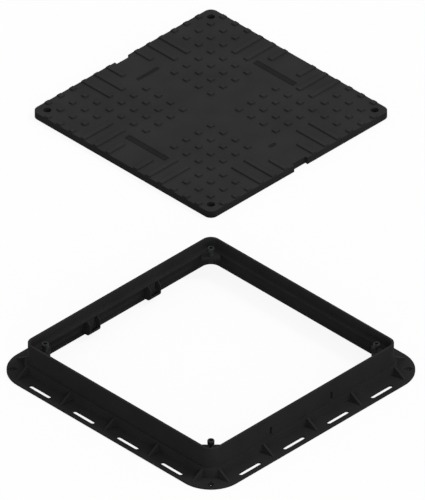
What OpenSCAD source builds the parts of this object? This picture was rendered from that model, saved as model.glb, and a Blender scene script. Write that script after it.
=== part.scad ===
// Square inspection cover with its frame: a moulded composite lid, taken off and laid flat
// on the ground behind its surface frame, with its four locking screws left in the frame.
// Millimetres, +Z up. The origin is the centre of the frame's opening, at the underside of
// the frame's flange. The four sides face +X, +Y, -X and -Y.

/* [Cover] */
// Side of the square cover
cover_side = 640; // [560:10:720]
// Corner radius of the cover
cover_corner_r = 20.5; // [15:0.5:24]
// Depth of the cover without its tread, from top face to the feet of its ribs
cover_t = 20; // [18:0.5:30]
// Thickness of the top skin
skin_t = 8; // [5:0.5:12]
// Width of the solid band round the edge, which lies on the frame's ledge
band_w = 16; // [14:0.5:22]
// Thickness of the ribs under the skin
rib_t = 5; // [3:0.5:8]
// Rib cells along each side
cell_count = 10; // [6:1:12]
// Diameter of the solid boss round each screw hole
hole_boss_d = 44; // [36:1:52]

/* [Tread] */
// Height of the studs and bars above the top face
stud_h = 4; // [2:0.5:6]
// Width of a stud or bar at its foot
stud_w = 16; // [12:0.5:20]
// Amount by which each flank leans in from foot to top
stud_lean = 1.6; // [0.5:0.1:3]
// Distance of the first line of studs from the centre line
stud_first = 50; // [36:1:64]
// Distance kept between the last stud's foot and the cover's edge
stud_margin = 0.5; // [0.3:0.1:3]

/* [Keyways] */
// Width of the lifting notch in the middle of two edges
keyway_w = 47; // [36:1:60]
// Depth of the lifting notch, in from the edge
keyway_d = 8; // [5:0.5:11]

/* [Screws] */
// Distance of each screw's axis from the cover's two nearest edges
screw_inset = 28.5; // [26:0.5:31]
// Outer diameter of the screw's thread
screw_d = 12; // [8:1:12]
// Length of the screw under its head
screw_len = 30; // [25:1:45]
// Diameter of the cylindrical head
head_d = 18; // [15:0.5:19]
// Height of the head
head_h = 12; // [8:0.5:12]
// Size of the hexagon socket across its flats
socket_af = 10; // [6:0.5:11]
// Depth of the hexagon socket
socket_depth = 6; // [3:0.5:7]
// Diameter of the counterbore that takes the head
counterbore_d = 21; // [20:0.5:24]
// Depth of the counterbore below the cover's top face
counterbore_depth = 11; // [10:0.5:12]
// Clearance of the screw in the holes that it passes through, on the diameter
hole_clearance = 1; // [0.5:0.1:2]

/* [Inserts] */
// Outer diameter of the threaded insert
insert_d = 17; // [15.5:0.5:18]
// Length of the threaded insert
insert_len = 14; // [10:1:16]
// Running clearance between screw and insert, on the radius
thread_clearance = 0.05; // [0.03:0.01:0.1]

/* [Frame] */
// Height of the frame from the flange's underside to the rim
frame_h = 86; // [80:1:110]
// Thickness of the frame's walls
wall_t = 6; // [4:0.5:8]
// Gap between the cover's edge and the rim all round
cover_gap = 4; // [2:0.5:6]
// Width of the ledge that carries the cover
ledge_w = 14; // [10:0.5:16]
// Thickness of that ledge
ledge_t = 5; // [4:0.5:8]
// Radius of the rim's inner corners
rim_corner_r = 21; // [12:0.5:30]
// Height at which the wall steps out
step_z = 30; // [22:1:34]
// Distance by which the lower wall stands outside the upper one
step_out = 8; // [7:0.5:12]

/* [Flange] */
// Width of the flange outside the lower wall
flange_w = 48; // [44:1:70]
// Thickness of the flange
flange_t = 5.5; // [4:0.5:8]
// Radius of the flange's corners
flange_corner_r = 90; // [60:1:100]
// Gussets on each side
gusset_count = 5; // [4:1:6]
// Thickness of a gusset
gusset_t = 6; // [4:0.5:8]
// Reach of a gusset's foot along the flange
gusset_reach = 36; // [24:1:38]
// Width of the fixing slots in the flange
slot_w = 12; // [8:0.5:14]
// Length of the fixing slots, end to end
slot_len = 74; // [50:1:80]
// Distance from the slots' centre line to the flange's edge
slot_inset = 17.5; // [12:0.5:20]
// Diameter of the stake hole in each corner of the flange
stake_d = 6.5; // [5:0.5:12]
// Diameter of the shallow recess round each stake hole
stake_recess_d = 16; // [14:0.5:20]
// Distance of the stake holes from the two nearest edges
stake_inset = 37.7; // [36:0.1:44]
// Length of the setting-out groove through each stake hole
groove_len = 26; // [20:1:30]

/* [Corner pads] */
// Distance of a pad's diagonal edge from its screw's axis
pad_reach = 13.2; // [13:0.2:18]
// Width of a pad across the corner's diagonal
pad_w = 48; // [34:1:70]
// Thickness of a pad
pad_t = 8; // [6:0.5:12]
// Drop of the pad's top below the ledge's top
pad_drop = 2; // [0.5:0.5:4]
// Thickness of the cap over the insert, which is pressed in from below
insert_cap = 3; // [2:0.5:5]
// Wall round the insert in the boss under the pad
boss_wall = 4.5; // [3.5:0.5:6]
// Thickness of the rib that ties each boss to the corner
boss_rib_t = 6; // [4:0.5:8]

/* [Brackets] */
// Distance of each bracket from the middle of its wall
bracket_at = 106.5; // [80:0.5:140]
// Width of a bracket along the wall
bracket_w = 38; // [30:1:50]
// Reach of a bracket past the ledge's edge, into the opening
bracket_reach = 9; // [3:0.5:10]
// Height of a bracket's floor above the ground
bracket_foot = 14; // [10:1:18]
// Radius of the curve from a bracket's floor up into its lip
bracket_r = 12; // [5:0.5:14]
// Thickness of a bracket's cheeks, floor and lip
bracket_t = 3; // [2.5:0.5:5]
// Depth of a bracket's hollow, in from its front
hollow_depth = 12; // [8:0.5:16]
// Width of the slit from a bracket's hollow through the wall behind it
slit_w = 6.5; // [4:0.5:10]
// Height of that slit
slit_h = 22; // [14:1:26]

/* [Layout] */
// Distance of the cover's centre behind the frame's, along X and along Y
lay_off = 779.5; // [770:0.5:900]

/* [Hidden] */
$fn = 64;
eps = 0.5;                                         // how far pieces reach into each other
cut = 1;                                           // how far a cutting shape passes a surface
CORNERS = [[1, -1], [1, 1], [-1, 1], [-1, -1]];    // front, right, back and left corner
SIDES = [0, 90, 180, 270];

seat_z = frame_h - cover_t - stud_h;               // top of the ledge
seat_side = cover_side + 2 * cover_gap;            // inside of the rim
rim_side = seat_side + 2 * wall_t;                 // outside of the rim
rim_outer_r = rim_corner_r + wall_t;
foot_side = rim_side + 2 * step_out;               // outside of the lower wall
foot_in_side = foot_side - 2 * wall_t;             // inside of the lower wall
foot_outer_r = rim_outer_r + step_out;
flange_side = foot_side + 2 * flange_w;
clear_side = seat_side - 2 * ledge_w;              // opening between the ledges
ledge_corner_r = 7;

screw_at = cover_side / 2 - screw_inset;           // screw axes, along X and Y
head_z = frame_h - stud_h - counterbore_depth;     // underside of the screw heads
pad_z = seat_z - pad_drop;                         // top of the corner pads
pad_edge = 2 * screw_at - pad_reach * sqrt(2);     // |x| + |y| along a pad's diagonal edge
insert_z = pad_z - insert_cap - insert_len;        // foot of the inserts and their bosses
boss_d = insert_d + 2 * boss_wall;
insert_seat = 0.05;                                // gap between an insert and its hole
insert_groove = 0.7;                               // depth of the groove round an insert
insert_groove_w = 4;
hole_d = screw_d + hole_clearance;                 // through hole in the cover and in the pads
boss_rib_step = 2;                                 // how far a boss reaches below its rib
screw_chamfer = 1.5;
head_chamfer = 1;

gusset_pitch = flange_side / gusset_count;
slot_at = flange_side / 2 - slot_inset;
stake_at = flange_side / 2 - stake_inset;
gusset_toe = 1;                                    // height of a gusset's toe above the flange
gusset_top = 2;                                    // width of its flat top
gusset_drop = 3;                                   // from the step's top down to a gusset's
groove_w = 3;
groove_depth = 1.5;
recess_depth = 1;                                  // of the recess round a stake hole

bracket_in = clear_side / 2 - bracket_reach;       // inner face of a bracket
bracket_top = seat_z - ledge_t;                    // underside of the ledge
slit_drop = 2.5;                                   // from the ledge's underside to a slit
slit_z = bracket_top - slit_drop - slit_h;         // foot of the slit
slit_off = bracket_w / 2 - bracket_t - slit_w / 2; // slit's place, against the bracket's cheek

stud_lines = 7;                                    // lines of studs on each side of the centre
core_lines = 4;                                    // lines that make up the square core groups
stud_pitch = (cover_side / 2 - stud_margin - stud_w / 2 - stud_first) / (stud_lines - 1);
cell_pitch = (cover_side - 2 * band_w + rib_t) / cell_count;

function stud_at(i) = stud_first + i * stud_pitch;

// A square with true round corners, centred on the origin
module rounded_square(side, r) {
    square([side - 2 * r, side], center = true);
    square([side, side - 2 * r], center = true);
    for (sx = [-1, 1], sy = [-1, 1])
        translate([sx * (side / 2 - r), sy * (side / 2 - r)]) circle(r);
}

module plate(side, r, z0, z1) {
    translate([0, 0, z0]) linear_extrude(z1 - z0) rounded_square(side, r);
}

// A square ring between two plates
module ring(side_out, r_out, side_in, r_in, z0, z1) {
    difference() {
        plate(side_out, r_out, z0, z1);
        plate(side_in, r_in, z0 - eps, z1 + eps);
    }
}

// What follows, once at each corner, turned so that it points along the diagonal
module at_corners(distance) {
    for (c = CORNERS)
        translate([c.x * distance, c.y * distance, 0]) rotate(atan2(c.y, c.x)) children();
}

// The stepped wall: a wide foot, a shoulder and a narrower rim
module stepped_wall() {
    ring(foot_side, foot_outer_r, foot_in_side, foot_outer_r - wall_t, 0, step_z);
    ring(foot_side, foot_outer_r, seat_side, rim_corner_r, step_z - wall_t, step_z);
    ring(rim_side, rim_outer_r, seat_side, rim_corner_r, step_z - eps, frame_h);
}

module ledge() {
    ring(seat_side + 2 * eps, rim_corner_r, clear_side, ledge_corner_r, seat_z - ledge_t, seat_z);
}

// A triangular web from the flange up to the step, on the +X side
module gusset() {
    foot = foot_side / 2;
    root = foot - wall_t / 2;
    rotate([90, 0, 0]) linear_extrude(gusset_t, center = true)
        polygon([[root, eps], [foot + gusset_reach, eps], [foot + gusset_reach, flange_t + gusset_toe],
                 [foot + gusset_top, step_z - gusset_drop], [root, step_z - gusset_drop]]);
}

module gussets() {
    for (a = SIDES, k = [0 : gusset_count - 1])
        rotate(a) translate([0, (k - (gusset_count - 1) / 2) * gusset_pitch, 0]) gusset();
}

// A long hole with round ends, along Y, through the flange
module slot_hole() {
    translate([0, 0, -cut]) linear_extrude(flange_t + 2 * cut) {
        square([slot_w, slot_len - slot_w], center = true);
        for (s = [-1, 1]) translate([0, s * (slot_len - slot_w) / 2]) circle(d = slot_w);
    }
}

module flange_holes() {
    for (a = SIDES, k = [0 : gusset_count - 2])
        rotate(a) translate([slot_at, (k - gusset_count / 2 + 1) * gusset_pitch, 0]) slot_hole();
    at_corners(stake_at) {
        translate([0, 0, -cut]) cylinder(h = flange_t + 2 * cut, d = stake_d);
        translate([0, 0, flange_t - recess_depth]) cylinder(h = recess_depth + cut, d = stake_recess_d);
        translate([0, 0, flange_t]) cube([groove_len, groove_w, 2 * groove_depth], center = true);
    }
}

// The pad across each corner, with the boss that holds the insert under it
module corner_pads() {
    reach = seat_side / 2 + eps;
    rib_len = (seat_side / 2 - screw_at) * sqrt(2) - rim_corner_r * (sqrt(2) - 1) + wall_t / 2;
    intersection() {
        plate(seat_side + 2 * eps, rim_corner_r, pad_z - pad_t, pad_z);
        for (c = CORNERS)
            translate([0, 0, pad_z - pad_t - eps]) linear_extrude(pad_t + 2 * eps) intersection() {
                polygon([[c.x * reach, c.y * (pad_edge - reach)], [c.x * reach, c.y * reach],
                         [c.x * (pad_edge - reach), c.y * reach]]);
                rotate(atan2(c.y, c.x)) square([2 * seat_side, pad_w], center = true);
            }
    }
    at_corners(screw_at) {
        translate([0, 0, insert_z]) cylinder(h = pad_z - insert_z, d = boss_d);
        // the rib from the boss to the rim's corner
        translate([boss_d / 2 - cut, -boss_rib_t / 2, insert_z + boss_rib_step])
            cube([rib_len - boss_d / 2 + cut, boss_rib_t,
                  pad_z - pad_t - insert_z - boss_rib_step + eps]);
    }
}

// Bores in the bosses: the insert's seat from below, and the screw's hole through the cap
module boss_bores() {
    at_corners(screw_at) {
        translate([0, 0, insert_z - cut]) cylinder(h = insert_len + cut, d = insert_d);
        translate([0, 0, insert_z]) cylinder(h = pad_z - insert_z + cut, d = hole_d);
    }
}

// What follows, once at each bracket: two on the +X wall and two on the -X wall
module at_brackets() {
    for (a = [0, 180], s = [-1, 1]) rotate(a) translate([0, s * bracket_at, 0]) children();
}

// Side view of a bracket: cheeks that slope out from the ledge, and a floor that curves up
module bracket_side() {
    translate([bracket_in + bracket_r, bracket_foot + bracket_r]) circle(bracket_r);
    polygon([[bracket_in + bracket_r, bracket_foot], [seat_side / 2 + eps, bracket_foot],
             [seat_side / 2 + eps, bracket_top + eps], [clear_side / 2 + cut, bracket_top + eps],
             [bracket_in, bracket_top - bracket_reach], [bracket_in, bracket_foot + bracket_r]]);
}

// Side view of the hollow between the cheeks, open in front above the lip
module bracket_hollow() {
    r = bracket_r - bracket_t;
    floor_z = bracket_foot + bracket_t;
    intersection() {
        union() {
            translate([bracket_in + bracket_r, bracket_foot + bracket_r]) circle(r);
            polygon([[bracket_in + bracket_r, floor_z], [seat_side / 2, floor_z],
                     [seat_side / 2, bracket_top], [bracket_in - cut, bracket_top],
                     [bracket_in - cut, bracket_foot + bracket_r],
                     [bracket_in + bracket_t, bracket_foot + bracket_r]]);
        }
        translate([bracket_in - 2 * cut, bracket_foot])
            square([hollow_depth + 2 * cut, bracket_top - bracket_foot + cut]);
    }
}

// Hook-shaped brackets under the ledge, each tied to the foot of the wall by a block
module brackets() {
    tie_x = seat_side / 2 - cut;
    at_brackets() {
        rotate([90, 0, 0]) linear_extrude(bracket_w, center = true) bracket_side();
        translate([tie_x, -bracket_w / 2, bracket_foot])
            cube([foot_in_side / 2 + eps - tie_x, bracket_w, step_z - wall_t - bracket_foot + eps]);
    }
}

// The hollow of each bracket, and the slit through the wall behind it
module bracket_pockets() {
    at_brackets() {
        rotate([90, 0, 0]) linear_extrude(bracket_w - 2 * bracket_t, center = true) bracket_hollow();
        translate([bracket_in + hollow_depth - cut, -slit_off - slit_w / 2, slit_z])
            cube([rim_side / 2 - bracket_in - hollow_depth + 2 * cut, slit_w, slit_h]);
    }
}

module frame() {
    color("#2b2b2b") difference() {
        union() {
            ring(flange_side, flange_corner_r, foot_in_side, foot_outer_r - wall_t, 0, flange_t);
            stepped_wall();
            ledge();
            gussets();
            corner_pads();
            brackets();
        }
        flange_holes();
        boss_bores();
        bracket_pockets();
    }
}

// A stud or bar with leaning flanks, its foot centred on the origin at the top face
module stud(len_x, len_y) {
    intersection() {
        rotate([90, 0, 0]) linear_extrude(len_y, center = true) flanks(len_x);
        rotate([90, 0, 90]) linear_extrude(len_x, center = true) flanks(len_y);
    }
}

module flanks(len) {
    polygon([[-len / 2, -eps], [len / 2, -eps], [len / 2, 0],
             [len / 2 - stud_lean, stud_h], [-len / 2 + stud_lean, stud_h], [-len / 2, 0]]);
}

// Whether the stud in column i and row j, counted out from the centre lines, is there
function has_stud(i, j) =
    (i < core_lines && j < core_lines)
    || (min(i, j) >= core_lines - 1 && i + j < 2 * (stud_lines - 1));

// One quarter of the tread: studs in two square groups, and bars that run out to the edges
module tread_quarter() {
    bar_end = cover_side / 2 - stud_margin;
    for (i = [0 : stud_lines - 1], j = [0 : stud_lines - 1])
        if (has_stud(i, j)) translate([stud_at(i), stud_at(j), 0]) stud(stud_w, stud_w);
    for (j = [0 : core_lines - 2]) {
        bar_start = stud_at(j == 0 ? core_lines + 1 : core_lines) - stud_w / 2;
        bar_len = bar_end - bar_start;
        translate([bar_start + bar_len / 2, stud_at(j), 0]) stud(bar_len, stud_w);
        translate([stud_at(j), bar_start + bar_len / 2, 0]) stud(stud_w, bar_len);
    }
}

// The cells between the ribs, open below
module rib_cells() {
    cell = cell_pitch - rib_t;
    for (i = [0 : cell_count - 1], j = [0 : cell_count - 1])
        translate([(i - (cell_count - 1) / 2) * cell_pitch, (j - (cell_count - 1) / 2) * cell_pitch,
                   (cover_t - skin_t) / 2 - eps])
            cube([cell, cell, cover_t - skin_t + 2 * eps], center = true);
}

module cover() {
    color("#303030") translate([-lay_off, lay_off, 0]) difference() {
        union() {
            difference() {
                plate(cover_side, cover_corner_r, 0, cover_t);
                rib_cells();
            }
            at_corners(screw_at) cylinder(h = cover_t, d = hole_boss_d);
            translate([0, 0, cover_t])
                for (a = SIDES) rotate(a) tread_quarter();
        }
        at_corners(screw_at) {
            translate([0, 0, -cut]) cylinder(h = cover_t + 2 * cut, d = hole_d);
            translate([0, 0, cover_t - counterbore_depth])
                cylinder(h = counterbore_depth + stud_h + cut, d = counterbore_d);
        }
        for (s = [-1, 1])
            translate([s * cover_side / 2, 0, cover_t / 2])
                cube([2 * keyway_d, keyway_w, 2 * cover_t], center = true);
    }
}

// The insert pressed into a corner's boss: two knurled bands with a groove between them
module insert(corner) {
    band = (insert_len - insert_groove_w) / 2;
    r_out = insert_d / 2 - insert_seat;
    r_groove = r_out - insert_groove;
    r_in = screw_d / 2 + thread_clearance;
    color("#b08d57") translate([corner.x * screw_at, corner.y * screw_at, insert_z])
        rotate_extrude() polygon([[r_in, 0], [r_out, 0], [r_out, band], [r_groove, band],
            [r_groove, insert_len - band], [r_out, insert_len - band], [r_out, insert_len],
            [r_in, insert_len]]);
}

module insert_front() { insert(CORNERS[0]); }
module insert_right() { insert(CORNERS[1]); }
module insert_back() { insert(CORNERS[2]); }
module insert_left() { insert(CORNERS[3]); }

// A socket head cap screw, at the height it has when it holds the cover down
module screw(corner) {
    color("#1c1c1e") translate([corner.x * screw_at, corner.y * screw_at, head_z]) difference() {
        rotate_extrude() polygon([[0, -screw_len], [screw_d / 2 - screw_chamfer, -screw_len],
            [screw_d / 2, screw_chamfer - screw_len], [screw_d / 2, 0], [head_d / 2, 0],
            [head_d / 2, head_h - head_chamfer], [head_d / 2 - head_chamfer, head_h], [0, head_h]]);
        translate([0, 0, head_h - socket_depth])
            cylinder(h = socket_depth + cut, d = socket_af / cos(30), $fn = 6);
    }
}

module screw_front() { screw(CORNERS[0]); }
module screw_right() { screw(CORNERS[1]); }
module screw_back() { screw(CORNERS[2]); }
module screw_left() { screw(CORNERS[3]); }

frame();
cover();
insert_front();
insert_right();
insert_back();
insert_left();
screw_front();
screw_right();
screw_back();
screw_left();
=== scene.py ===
import math

import bmesh
import bpy
import numpy as np
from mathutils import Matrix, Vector


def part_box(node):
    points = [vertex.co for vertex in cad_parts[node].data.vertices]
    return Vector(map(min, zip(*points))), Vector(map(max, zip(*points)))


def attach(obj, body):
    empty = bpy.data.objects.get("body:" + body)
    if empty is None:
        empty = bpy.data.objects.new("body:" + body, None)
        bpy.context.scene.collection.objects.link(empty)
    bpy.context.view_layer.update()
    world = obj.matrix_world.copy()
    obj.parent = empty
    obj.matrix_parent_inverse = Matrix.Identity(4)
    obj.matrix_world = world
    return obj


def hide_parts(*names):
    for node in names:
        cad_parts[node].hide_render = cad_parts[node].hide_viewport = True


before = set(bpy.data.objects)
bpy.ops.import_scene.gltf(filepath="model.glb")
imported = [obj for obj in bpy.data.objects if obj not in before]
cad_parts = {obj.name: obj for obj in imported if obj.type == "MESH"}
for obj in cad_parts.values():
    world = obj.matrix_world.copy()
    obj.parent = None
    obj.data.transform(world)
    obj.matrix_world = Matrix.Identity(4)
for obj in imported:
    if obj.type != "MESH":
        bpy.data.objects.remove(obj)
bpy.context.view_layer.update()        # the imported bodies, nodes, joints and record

# An inspection cover of black moulded composite: the lid lies on the ground behind its frame,
# and four black screws stand in the frame's corners. Metres, +Z up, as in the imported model.

mm = 0.001


# Small helpers

def hexToLinear(code):
    # each sRGB part c becomes ((c + 0.055) / 1.055) to the power 2.4, or c / 12.92 near black
    parts = [int(code[i:i + 2], 16) / 255 for i in (1, 3, 5)]
    return [p / 12.92 if p <= 0.04045 else ((p + 0.055) / 1.055) ** 2.4 for p in parts] + [1.0]


def addNode(tree, kind, settings=None, **links):
    # "in:Scale" sets an input, any other key an attribute; a link n0 goes to input 0,
    # and a link Base_Color goes to the input of that name
    node = tree.nodes.new(kind)
    for key, value in (settings or {}).items():
        if key.startswith("in:"):
            name = key[3:]
            node.inputs[int(name) if name.isdigit() else name].default_value = value
        else:
            setattr(node, key, value)
    for name, socket in links.items():
        byNumber = name[0] == "n" and name[1:].isdigit()
        tree.links.new(socket, node.inputs[int(name[1:]) if byNumber else name.replace("_", " ")])
    return node


def newMaterial(name):
    mat = bpy.data.materials.new(name)
    mat.use_nodes = True
    return mat, mat.node_tree, mat.node_tree.nodes["Principled BSDF"]


def noiseBetween(tree, place, size, low, high, detail=3.0):
    # a noise with features about `size` mm wide, stretched to run from low to high;
    # unstretched it seldom leaves 0.32 to 0.68
    noise = addNode(tree, "ShaderNodeTexNoise", {"in:Scale": 1 / (size * mm), "in:Detail": detail},
                    Vector=place)
    return addNode(tree, "ShaderNodeMapRange", {"in:1": 0.32, "in:2": 0.68, "in:3": low, "in:4": high},
                   Value=noise.outputs[0]).outputs[0]


# Materials

mouldedLook = {
    "lidColour": "#2b2b2b",
    "frameColour": "#2b2b2b",
    "paintedTopLight": "#333333",        # painted light: the lid's upward faces a little lighter than its sides
    # painted shade: the panels' skin darker than the lid's, as if less lit
    "shadedPanelColour": "#262626",
    "recessShadeColour": "#1e1e1e",        # painted shade in the sunk marks at the flange's corners
    "sunkBand": (3.6, 4.9),   # mm, heights that the marks' floors lie between
    "upward": (0.7, 0.95),    # the normal's Z where a side ends and where a top begins
    "flowTone": 1.09,         # brightness of the flow marks against the base colour
    "flowSize": 70,           # mm, width of the flow marks in the moulding
    "sheenSize": 17.5,        # mm, width of the duller and shinier patches
    "fibreLays": (25, -50),   # degrees, in plan
    "fibreLength": 14,        # mm, chopped glass just under the skin
    "fibreWidth": 1.3,        # mm, coarser than real fibre bundles so that it shows
    "fibreDepth": 0.03,       # mm
    "fibreShows": (0.58, 0.8),        # strengths of the print where it begins to show and is full
    "fibreShare": 0.35,       # how far the full print goes to the lighter tone
    "grainPitch": 1.1,        # mm, sparked grain of the mould, drawn coarser than the real 0.3
    "grainDepth": 0.05,       # mm
    "roughness": (0.46, 0.62),
    "gloss": 0.01,            # specular level: a matt skin that lifts little in a white room
}


def sunkMarks(tree, place, onTop):
    # one on upward faces whose height lies inside the sunk band, zero elsewhere: the mask of the painted
    # shade in the sunk marks
    height = addNode(tree, "ShaderNodeSeparateXYZ", None, n0=place).outputs["Z"]
    above, below = [addNode(tree, "ShaderNodeMath", {"operation": test, "in:1": edge * mm}, n0=height)
                    for test, edge in zip(("GREATER_THAN", "LESS_THAN"), mouldedLook["sunkBand"])]
    within = addNode(tree, "ShaderNodeMath", {"operation": "MULTIPLY"}, n0=above.outputs[0],
                     n1=below.outputs[0])
    return addNode(tree, "ShaderNodeMath", {"operation": "MULTIPLY"}, n0=within.outputs[0],
                   n1=onTop).outputs[0]


def fibrePrint(tree, place):
    # noises drawn out along each lay of the fibre; the stronger one counts
    look = mouldedLook
    lays = []
    for turn in look["fibreLays"]:
        laid = addNode(tree, "ShaderNodeMapping", {
            "in:Rotation": (0, 0, math.radians(turn)),
            "in:Scale": (1 / (look["fibreLength"] * mm), 1 / (look["fibreWidth"] * mm),
                         1 / (look["fibreWidth"] * mm))}, Vector=place)
        lays.append(addNode(tree, "ShaderNodeTexNoise", {"in:Scale": 1.0, "in:Detail": 1.0},
                            Vector=laid.outputs[0]).outputs[0])
    return addNode(tree, "ShaderNodeMath", {"operation": "MAXIMUM"}, n0=lays[0], n1=lays[1]).outputs[0]


# Compression-moulded glass-fibre composite, black through and through: a matt skin with the
# mould's fine grain, cloudy flow marks and the faint print of chopped fibres.
# upward faces may take a lighter colour as painted light, and the sunk marks a darker one as painted shade
def mouldedComposite(name, colour, paintedTopColour=None, sunk=False):
    look = mouldedLook
    mat, tree, bsdf = newMaterial(name)
    place = addNode(tree, "ShaderNodeTexCoord").outputs["Object"]
    facing = addNode(tree, "ShaderNodeTexCoord").outputs["Normal"]
    normalZ = addNode(tree, "ShaderNodeSeparateXYZ", None, n0=facing).outputs["Z"]
    sideEnds, topBegins = look["upward"]
    onTop = addNode(tree, "ShaderNodeMapRange", {"in:1": sideEnds, "in:2": topBegins},
                    Value=normalZ).outputs[0]
    # painted light: faces that look up take the lighter top colour, sides keep the base colour
    base = addNode(tree, "ShaderNodeMix", {
        "data_type": "RGBA", "in:6": hexToLinear(colour),
        "in:7": hexToLinear(paintedTopColour or colour)}, n0=onTop).outputs[2]
    # painted shade: the floors of the sunk marks darkened
    if sunk:
        base = addNode(tree, "ShaderNodeMix", {"data_type": "RGBA", "in:7": hexToLinear(look["recessShadeColour"])},
                       n0=sunkMarks(tree, place, onTop), n6=base).outputs[2]
    flow = noiseBetween(tree, place, look["flowSize"], 1 / look["flowTone"], look["flowTone"], detail=4.0)
    clouds = addNode(tree, "ShaderNodeVectorMath", {"operation": "SCALE"}, n0=base, Scale=flow)
    lighter = addNode(tree, "ShaderNodeVectorMath", {"operation": "SCALE", "in:Scale": look["flowTone"]},
                      n0=base)
    fibre = fibrePrint(tree, place)
    begins, isFull = look["fibreShows"]
    fleck = addNode(tree, "ShaderNodeMapRange",
                    {"in:1": begins, "in:2": isFull, "in:3": 0.0, "in:4": look["fibreShare"]}, Value=fibre)
    tint = addNode(tree, "ShaderNodeMix", {"data_type": "RGBA"},
                   n0=fleck.outputs[0], n6=clouds.outputs[0], n7=lighter.outputs[0])
    tree.links.new(tint.outputs[2], bsdf.inputs["Base Color"])
    sheen = noiseBetween(tree, place, look["sheenSize"], *look["roughness"])
    tree.links.new(sheen, bsdf.inputs["Roughness"])
    bsdf.inputs["Specular IOR Level"].default_value = look["gloss"]
    grain = addNode(tree, "ShaderNodeTexNoise",
                    {"in:Scale": 1 / (look["grainPitch"] * mm), "in:Detail": 2.0}, Vector=place)
    under = addNode(tree, "ShaderNodeBump", {"in:Distance": look["fibreDepth"] * mm}, Height=fibre)
    bump = addNode(tree, "ShaderNodeBump", {"in:Distance": look["grainDepth"] * mm},
                   Height=grain.outputs[0], Normal=under.outputs[0])
    tree.links.new(bump.outputs[0], bsdf.inputs["Normal"])
    return mat


screwLook = {
    "colour": "#272829",
    "worn": "#363738",
    "wornShare": 0.7,         # how far the lightest clouds go to the worn tone
    "blotch": 5,              # mm, cloudiness of the oxide
    "grit": 0.5,              # mm, tumbled texture, drawn coarser than the real 0.1
    "gritDepth": 0.012,       # mm
    "roughness": (0.5, 0.66),
    "metal": 0.4,             # the oxide hides most of the metal
    "gloss": 0.1,
}


# Black-oxide alloy steel, cold headed, rolled and tumbled: dark satin metal, slightly cloudy.
def blackOxideSteel(name):
    look = screwLook
    mat, tree, bsdf = newMaterial(name)
    place = addNode(tree, "ShaderNodeTexCoord").outputs["Object"]
    cloud = noiseBetween(tree, place, look["blotch"], 0.0, look["wornShare"])
    tint = addNode(tree, "ShaderNodeMix", {"data_type": "RGBA", "in:6": hexToLinear(look["colour"]),
                                           "in:7": hexToLinear(look["worn"])}, n0=cloud)
    tree.links.new(tint.outputs[2], bsdf.inputs["Base Color"])
    bsdf.inputs["Metallic"].default_value = look["metal"]
    bsdf.inputs["Specular IOR Level"].default_value = look["gloss"]
    satin = noiseBetween(tree, place, look["blotch"] / 2, *look["roughness"])
    tree.links.new(satin, bsdf.inputs["Roughness"])
    grit = addNode(tree, "ShaderNodeTexNoise", {"in:Scale": 1 / (look["grit"] * mm)}, Vector=place)
    bump = addNode(tree, "ShaderNodeBump", {"in:Distance": look["gritDepth"] * mm},
                   Height=grit.outputs[0])
    tree.links.new(bump.outputs[0], bsdf.inputs["Normal"])
    return mat


brassLook = {
    "colour": "#b0904f",
    "tarnish": "#7d6230",
    "tarnishShare": 0.6,
    "blotch": 6,              # mm, width of the tarnished patches
    "feed": 1.57,             # mm, turning marks along the axis, drawn coarser than the real 0.25
    "feedDepth": 0.01,        # mm
    "feedWander": 0.4,        # distortion of the rings
    "roughness": (0.25, 0.45),
}


# Turned brass: warm metal with fine rings from the tool and a little brown tarnish.
def turnedBrass(name):
    look = brassLook
    mat, tree, bsdf = newMaterial(name)
    place = addNode(tree, "ShaderNodeTexCoord").outputs["Object"]
    cloud = noiseBetween(tree, place, look["blotch"], 0.0, look["tarnishShare"])
    tint = addNode(tree, "ShaderNodeMix", {"data_type": "RGBA", "in:6": hexToLinear(look["colour"]),
                                           "in:7": hexToLinear(look["tarnish"])}, n0=cloud)
    tree.links.new(tint.outputs[2], bsdf.inputs["Base Color"])
    bsdf.inputs["Metallic"].default_value = 1.0
    rough = noiseBetween(tree, place, look["blotch"] / 2, *look["roughness"])
    tree.links.new(rough, bsdf.inputs["Roughness"])
    # at scale 1 the wave repeats every tau / 20
    rings = addNode(tree, "ShaderNodeTexWave", {
        "bands_direction": "Z", "in:Distortion": look["feedWander"],
        "in:Scale": math.tau / (20 * look["feed"] * mm)}, Vector=place)
    bump = addNode(tree, "ShaderNodeBump", {"in:Distance": look["feedDepth"] * mm},
                   Height=rings.outputs["Fac"])
    tree.links.new(bump.outputs[0], bsdf.inputs["Normal"])
    return mat


lidSkin = mouldedComposite("moulded composite, lid", mouldedLook["lidColour"],
                           mouldedLook["paintedTopLight"])
frameSkin = mouldedComposite("moulded composite, frame", mouldedLook["frameColour"], sunk=True)
panelSkin = mouldedComposite("moulded composite, panels", mouldedLook["shadedPanelColour"])
screwSteel = blackOxideSteel("black oxide steel")
insertBrass = turnedBrass("turned brass")
print("materials made")


# The two mouldings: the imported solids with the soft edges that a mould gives

edgeLook = {
    "radius": 0.45,           # mm
    "segments": 2,
    "sharpest": 35,           # degrees; an edge that turns less than this stays as it is
    "shortest": 0.9,          # mm; so does an edge shorter than this
    "weld": 0.01,             # mm, points closer than this are one
    "snap": 0.03,             # mm, a cut this near to a point goes through it
    "flatWithin": 0.5,        # degrees, triangles that turn less than this are one face
    # mm; flat faces are kept to cells this wide, up to this far from the node's middle
    "cells": {"cover": (20, 280), "frame": (40, 280)},
    # mm; more cuts through the middle of single holes: on both sides of the node's middle along X
    # and along Y, and at these heights
    "holes": {"cover": ([291.5], [291.5], []),
              "frame": ([291.5, 348.3], [93.75, 291.5, 348.3], [43.5])},
}


def cutPlanes(node):
    # axis and place in mm of every cut
    low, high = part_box(node)
    middle = (low + high) / 2 / mm
    step, reach = edgeLook["cells"][node]
    *sides, heights = edgeLook["holes"][node]
    planes = []
    for axis, holes in enumerate(sides):
        grid = list(np.arange(-reach, reach + 1, step))
        both = sorted([-away for away in holes] + holes)
        planes += [(axis, middle[axis] + away) for away in grid + both]
    return planes + [(2, height) for height in heights]


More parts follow.
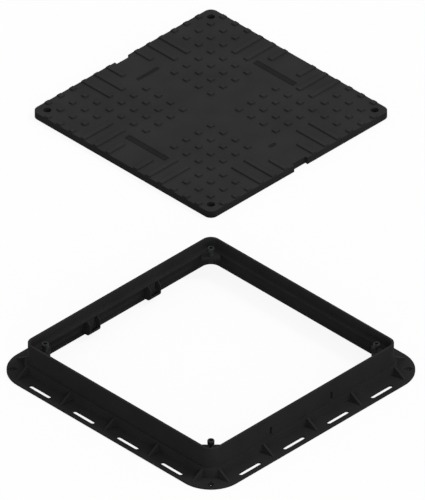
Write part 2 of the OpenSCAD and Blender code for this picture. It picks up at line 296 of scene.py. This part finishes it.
def mergeFlatFaces(work, node):
    # triangles become flat faces; these are kept to the cells of a grid, as a large pierced one
    # can turn over in the rounding
    bmesh.ops.remove_doubles(work, verts=work.verts, dist=edgeLook["weld"] * mm)
    for axis, place in cutPlanes(node):
        point, across = Vector(), Vector()
        point[axis], across[axis] = place * mm, 1
        made = bmesh.ops.bisect_plane(work, geom=work.verts[:] + work.edges[:] + work.faces[:],
                                      dist=edgeLook["snap"] * mm, plane_co=point, plane_no=across)
        for part in made["geom_cut"]:
            if isinstance(part, bmesh.types.BMEdge):
                part.seam = True
    bmesh.ops.dissolve_limit(work, angle_limit=math.radians(edgeLook["flatWithin"]), verts=work.verts,
                             edges=work.edges, delimit={"SEAM"})


def weighOuterEdges(work):
    # one for every outer edge that is long and sharp enough to be rounded
    weight = work.edges.layers.float.new("bevel_weight_edge")
    for edge in work.edges:
        outer = edge.is_manifold and edge.is_convex and edge.calc_length() > edgeLook["shortest"] * mm
        if outer and edge.calc_face_angle() > math.radians(edgeLook["sharpest"]):
            edge[weight] = 1.0


def roundedMoulding(node, name, mat):
    # a copy of the node's triangles, merged into flat faces, with its outer edges rounded off
    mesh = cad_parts[node].data.copy()
    work = bmesh.new()
    work.from_mesh(mesh)
    mergeFlatFaces(work, node)
    weighOuterEdges(work)
    work.to_mesh(mesh)
    work.free()
    mesh.materials.clear()
    mesh.materials.append(mat)
    piece = bpy.data.objects.new(name, mesh)
    bpy.context.scene.collection.objects.link(piece)
    bevel = piece.modifiers.new("soft edges", "BEVEL")
    bevel.width = edgeLook["radius"] * mm
    bevel.segments = edgeLook["segments"]
    bevel.limit_method = "WEIGHT"
    bevel.use_clamp_overlap = False
    bevel.harden_normals = True
    bevel.miter_outer = "MITER_ARC"
    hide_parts(node)
    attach(piece, "frame")
    print(name, "made from", len(mesh.polygons), "flat faces")


roundedMoulding("cover", "lid", lidSkin)
roundedMoulding("frame", "surfaceFrame", frameSkin)


# Grids of points made into closed meshes

def gridFaces(rows, cols):
    # each face joins a point to its neighbours in the next column and the next row;
    # the columns run round and close on themselves
    row, col = np.meshgrid(np.arange(rows - 1), np.arange(cols), indexing="ij")
    nextCol = (col + 1) % cols
    a, b = row * cols + col, row * cols + nextCol
    return np.stack([a, b, b + cols, a + cols], axis=-1).reshape(-1, 4)


def closedPiece(name, grid, mat, bodyName, smoothBelow=30):
    # grid holds rings of points, from the lowest or outermost to the last; both ends are closed
    # with a fan of triangles round the middle of their ring; edges that turn more than
    # smoothBelow degrees stay sharp
    rows, cols = grid.shape[:2]
    points = np.concatenate([grid.reshape(-1, 3), grid[0].mean(axis=0)[None], grid[-1].mean(axis=0)[None]])
    around = np.arange(cols)
    nextOne = (around + 1) % cols
    first, last = rows * cols, rows * cols + 1
    start = np.stack([np.full(cols, first), nextOne, around], axis=-1)
    top = (rows - 1) * cols
    end = np.stack([top + around, top + nextOne, np.full(cols, last)], axis=-1)
    mesh = bpy.data.meshes.new(name)
    mesh.from_pydata(points.tolist(), [], gridFaces(rows, cols).tolist() + start.tolist() + end.tolist())
    mesh.validate()
    mesh.shade_smooth()
    mesh.set_sharp_from_angle(angle=math.radians(smoothBelow))
    mesh.materials.append(mat)
    piece = bpy.data.objects.new(name, mesh)
    bpy.context.scene.collection.objects.link(piece)
    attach(piece, bodyName)
    return piece


# The four screws: socket head cap screws with a knurled head and a rolled thread

screwShape = {
    "corners": ("front", "right", "back", "left"),
    "threadWidth": 12.0,      # mm, as all lengths here; over the crests
    "threadPitch": 1.75,
    "threadDepth": 1.07,
    "threadFlat": 0.1,        # share of a turn that crest and root each stay flat
    "plainNeck": 1.6,         # smooth stretch under the head
    "tipChamfer": 1.5,
    "headHeight": 12.0,
    "footChamfer": 0.6,       # round the head's underside
    "teeth": 36,              # knurls round the head
    "toothDepth": 0.35,
    "toothFade": (0.5, 0.7),        # stretches over which the knurl fades, below and above
    "headChamfer": 1.0,
    "headRound": (0.35, 0.4),       # the chamfer's middle, inwards from the side and below the top
    "socketWidth": 10.0,      # across the flats
    "socketDepth": 6.0,
    "socketMouth": (0.35, 0.5),     # the mouth's chamfer, outwards and down
    "socketCone": 1.6,        # drill point below the flats
    "coneMiddle": (0.55, 0.45),     # a ring on the cone: shares of the hexagon's radius and of its depth
    "coneTip": 0.1,           # radius
    "columns": 144,           # four to a knurl, and 24 to a side of the socket
    "rowsPerPitch": 7,
}


def triangleWave(turns):
    # falls from 1 to 0 over half a turn and climbs back over the other half
    return np.abs(2 * (turns - np.floor(turns)) - 1)


def threadRings(angle, tip, neck):
    # the radius is a triangle wave of the height less one pitch a turn, between root and crest,
    # cut down by the cone at the tip and by the smooth neck under the head
    shape = screwShape
    crest = shape["threadWidth"] / 2
    rowCount = round((neck - tip) / shape["threadPitch"] * shape["rowsPerPitch"])
    heights = np.linspace(tip, neck, rowCount)
    wave = triangleWave(heights[:, None] / shape["threadPitch"] - angle / (2 * np.pi))
    groove = np.clip((wave - shape["threadFlat"]) / (1 - 2 * shape["threadFlat"]), 0, 1)
    cone = crest - shape["tipChamfer"] + (heights - tip)
    radii = np.minimum(crest - shape["threadDepth"] * groove, cone[:, None])
    smooth = (heights > neck - shape["plainNeck"])[:, None]
    return np.where(smooth, crest - shape["threadDepth"] / 2, radii), heights


def headRings(angle, headRadius, neck, top):
    # rings up the outside of the head, across its top and down its socket; the knurl is a triangle
    # wave round the side, and a hexagon's radius is its half width over the cosine of the angle
    # from the middle of the nearest flat
    shape = screwShape
    ring = np.ones(len(angle))
    tooth = headRadius - shape["toothDepth"] * triangleWave(angle / (2 * np.pi) * shape["teeth"])
    side = headRadius - shape["toothDepth"]
    fadeLow, fadeHigh = shape["toothFade"]
    roundIn, roundDown = shape["headRound"]
    mouthOut, mouthDown = shape["socketMouth"]
    coneShare, coneDepth = shape["coneMiddle"]
    foot, shoulder = shape["footChamfer"], top - shape["headChamfer"]
    fromFlat = np.mod(angle + np.pi / 6, np.pi / 3) - np.pi / 6
    hexagon = shape["socketWidth"] / 2 / np.cos(fromFlat)
    mouth = shape["socketWidth"] / math.sqrt(3) + mouthOut
    floor = top - shape["socketDepth"]
    rings = [
        (shape["threadWidth"] / 2 * ring, neck), ((side - foot) * ring, neck), (side * ring, neck + foot),
        (tooth, neck + foot + fadeLow), (tooth, shoulder - fadeHigh),
        (side * ring, shoulder), ((side - roundIn) * ring, top - roundDown),
        ((side - shape["headChamfer"]) * ring, top),
        (mouth * ring, top), (hexagon, top - mouthDown), (hexagon, floor),
        (coneShare * hexagon, floor - coneDepth * shape["socketCone"]),
        (shape["coneTip"] * ring, floor - shape["socketCone"])]
    return np.array([radius for radius, height in rings]), np.array([height for radius, height in rings])


def ringsOf(radii, heights, centre):
    # turns rows of radius over the angle a into points: x = r cos a, y = r sin a
    angle = 2 * np.pi * np.arange(radii.shape[1]) / radii.shape[1]
    x = centre[0] + radii * np.cos(angle)
    y = centre[1] + radii * np.sin(angle)
    return np.stack([x, y, np.broadcast_to(heights[:, None], radii.shape)], axis=-1)


def makeScrew(corner):
    low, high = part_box("screw_" + corner)
    angle = 2 * np.pi * np.arange(screwShape["columns"]) / screwShape["columns"]
    tip, top = low[2] / mm, high[2] / mm
    neck = top - screwShape["headHeight"]        # underside of the head
    headRadius = (high[0] - low[0]) / mm / 2
    threadRadii, threadHeights = threadRings(angle, tip, neck)
    headRadii, headHeights = headRings(angle, headRadius, neck, top)
    grid = ringsOf(np.concatenate([threadRadii, headRadii]) * mm,
                   np.concatenate([threadHeights, headHeights]) * mm, (low + high) / 2)
    piece = closedPiece("screw" + corner.capitalize(), grid, screwSteel, "screw_" + corner)
    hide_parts("screw_" + corner)


for corner in screwShape["corners"]:
    makeScrew(corner)
    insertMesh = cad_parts["insert_" + corner].data
    insertMesh.materials.clear()
    insertMesh.materials.append(insertBrass)
print("four screws made, inserts given their finish")


# Blank panels on the lid: a low border round a sunk plain field

panelShape = {
    # middle from the lid's centre and size, along X and along Y, mm
    "places": [((0, 229), (142, 17)), ((4, -231), (142, 17)), ((-225, 0), (10, 75)), ((219, 0), (10, 22))],
    "studHeight": 4.0,        # the lid's face lies this far below its highest point
    "cornerRadius": 2.5,
    "cornerSteps": 6,
    # steps inwards from the outline, with the height of each above the lid's face
    "profile": [(0.0, -0.5), (0.0, 0.7), (0.3, 1.1), (1.5, 1.1), (1.8, 0.4)],
}


def makePanel(number, place, size):
    # the profile is carried round a rounded rectangle: each corner is a quarter circle whose
    # radius shrinks by the step inwards
    shape = panelShape
    low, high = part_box("cover")
    middle = (low + high) / 2 / mm
    face = high[2] / mm - shape["studHeight"]
    steps = shape["cornerSteps"]
    quarter = np.linspace(0, np.pi / 2, steps)
    angle = (np.arange(4)[:, None] * np.pi / 2 + quarter).ravel()
    signX = np.repeat([1, -1, -1, 1], steps)
    signY = np.repeat([1, 1, -1, -1], steps)
    inset, height = np.array(shape["profile"]).T[:, :, None]
    radius = shape["cornerRadius"] - inset
    x = middle[0] + place[0] + signX * (size[0] / 2 - shape["cornerRadius"]) + radius * np.cos(angle)
    y = middle[1] + place[1] + signY * (size[1] / 2 - shape["cornerRadius"]) + radius * np.sin(angle)
    grid = np.stack([x, y, np.broadcast_to(face + height, x.shape)], axis=-1) * mm
    closedPiece("namePanel%d" % number, grid, panelSkin, "frame")


for number, (place, size) in enumerate(panelShape["places"]):
    makePanel(number + 1, place, size)
print("blank panels made")


# Stage: floor, light and camera

stageLook = {
    "floorHalf": 200.0,       # m
    "floorDrop": 0.2,         # mm, below the pieces that stand on it
    "floorColour": "#f6f6f6",
    "bounceColour": "#3f3f3f",        # what the floor gives back to the object's walls
    "floorRoughness": 0.9,
    "cameraWhite": 0.88,      # share of plain white in what the camera sees of the floor
    "whiteLevel": 1.02,
    "skyLevel": 0.51,
    # level, softness of the shadows in degrees, and where the light comes from
    "suns": {"soft sun": (1.01, 12, (0.54, 0.64, 1.0)), "low fill": (0.99, 40, (0.7, -0.5, 0.25))},
}


def seenDirectly(tree):
    # one for camera, glossy and transmission rays, zero for the light that falls on the object;
    # beside it, one for the rays that come from a matt surface
    path = addNode(tree, "ShaderNodeLightPath")
    first = addNode(tree, "ShaderNodeMath", {"operation": "MAXIMUM"},
                    n0=path.outputs["Is Camera Ray"], n1=path.outputs["Is Glossy Ray"])
    both = addNode(tree, "ShaderNodeMath", {"operation": "MAXIMUM"},
                   n0=first.outputs[0], n1=path.outputs["Is Transmission Ray"])
    return both.outputs[0], path.outputs["Is Diffuse Ray"]


def makeFloor():
    look = stageLook
    half = look["floorHalf"]
    mesh = bpy.data.meshes.new("floor")
    corners = [(-half, -half, 0), (half, -half, 0), (half, half, 0), (-half, half, 0)]
    mesh.from_pydata(corners, [], [(0, 1, 2, 3)])
    floor = bpy.data.objects.new("floor", mesh)
    bpy.context.scene.collection.objects.link(floor)
    mat, tree, bsdf = newMaterial("pale floor")
    direct, diffuse = seenDirectly(tree)
    colour = addNode(tree, "ShaderNodeMix", {
        "data_type": "RGBA", "in:6": hexToLinear(look["floorColour"]),
        "in:7": hexToLinear(look["bounceColour"])}, n0=diffuse)
    tree.links.new(colour.outputs[2], bsdf.inputs["Base Color"])
    bsdf.inputs["Roughness"].default_value = look["floorRoughness"]
    bsdf.inputs["Specular IOR Level"].default_value = 0.0
    white = addNode(tree, "ShaderNodeEmission",
                    {"in:Color": (1, 1, 1, 1), "in:Strength": look["whiteLevel"]})
    share = addNode(tree, "ShaderNodeMath", {"operation": "MULTIPLY", "in:1": look["cameraWhite"]},
                    n0=direct)
    mix = addNode(tree, "ShaderNodeMixShader", None, n0=share.outputs[0], n1=bsdf.outputs[0],
                  n2=white.outputs[0])
    tree.links.new(mix.outputs[0], tree.nodes["Material Output"].inputs["Surface"])
    mesh.materials.append(mat)
    floor.location.z = -look["floorDrop"] * mm


def makeWorld():
    world = bpy.data.worlds.new("studio")
    bpy.context.scene.world = world
    world.use_nodes = True
    tree = world.node_tree
    tree.nodes.clear()
    sky = addNode(tree, "ShaderNodeBackground",
                  {"in:Color": (1, 1, 1, 1), "in:Strength": stageLook["skyLevel"]})
    white = addNode(tree, "ShaderNodeBackground", {"in:Color": (1, 1, 1, 1), "in:Strength": 1.0})
    mix = addNode(tree, "ShaderNodeMixShader", None, n0=seenDirectly(tree)[0],
                  n1=sky.outputs[0], n2=white.outputs[0])
    addNode(tree, "ShaderNodeOutputWorld", None, Surface=mix.outputs[0])


def makeSun(name):
    level, softness, comesFrom = stageLook["suns"][name]
    lamp = bpy.data.lights.new(name, "SUN")
    lamp.energy = level
    lamp.angle = math.radians(softness)
    sun = bpy.data.objects.new(name, lamp)
    bpy.context.scene.collection.objects.link(sun)
    sun.rotation_mode = "QUATERNION"
    sun.rotation_quaternion = Vector(comesFrom).to_track_quat("Z", "Y")


cameraView = {
    # a very long lens, all but without perspective, as in the picture
    "azimuth": 45.0,          # degrees
    "elevation": 35.2586,
    "fieldHeight": 1.2441,    # m, over the picture's 500 rows
    "lens": 1455.0,           # mm
    "sensorWide": 36.0,
    "sensorHigh": 24.96,
    "aim": (0.0040, 0.29992),        # m, right and up in the picture, from the frame's centre
}


def makeCamera():
    view = cameraView
    data = bpy.data.cameras.new("camera")
    data.sensor_fit = "VERTICAL"
    data.sensor_width = view["sensorWide"]
    data.sensor_height = view["sensorHigh"]
    data.lens = view["lens"]
    turn, rise = math.radians(view["azimuth"]), math.radians(view["elevation"])
    back = Vector((math.sin(turn) * math.cos(rise), -math.cos(turn) * math.cos(rise), math.sin(rise)))
    right = Vector((math.cos(turn), math.sin(turn), 0))
    up = back.cross(right)
    distance = view["fieldHeight"] * view["lens"] / view["sensorHigh"]
    camera = bpy.data.objects.new("camera", data)
    bpy.context.scene.collection.objects.link(camera)
    camera.location = right * view["aim"][0] + up * view["aim"][1] + back * distance
    camera.rotation_mode = "QUATERNION"
    camera.rotation_quaternion = back.to_track_quat("Z", "Y")
    data.clip_start, data.clip_end = 1.0, 2 * distance
    bpy.context.scene.camera = camera


makeFloor()
makeWorld()
for sunName in stageLook["suns"]:
    makeSun(sunName)
makeCamera()
bpy.context.scene.view_settings.view_transform = "Standard"
print("floor, light and camera set")
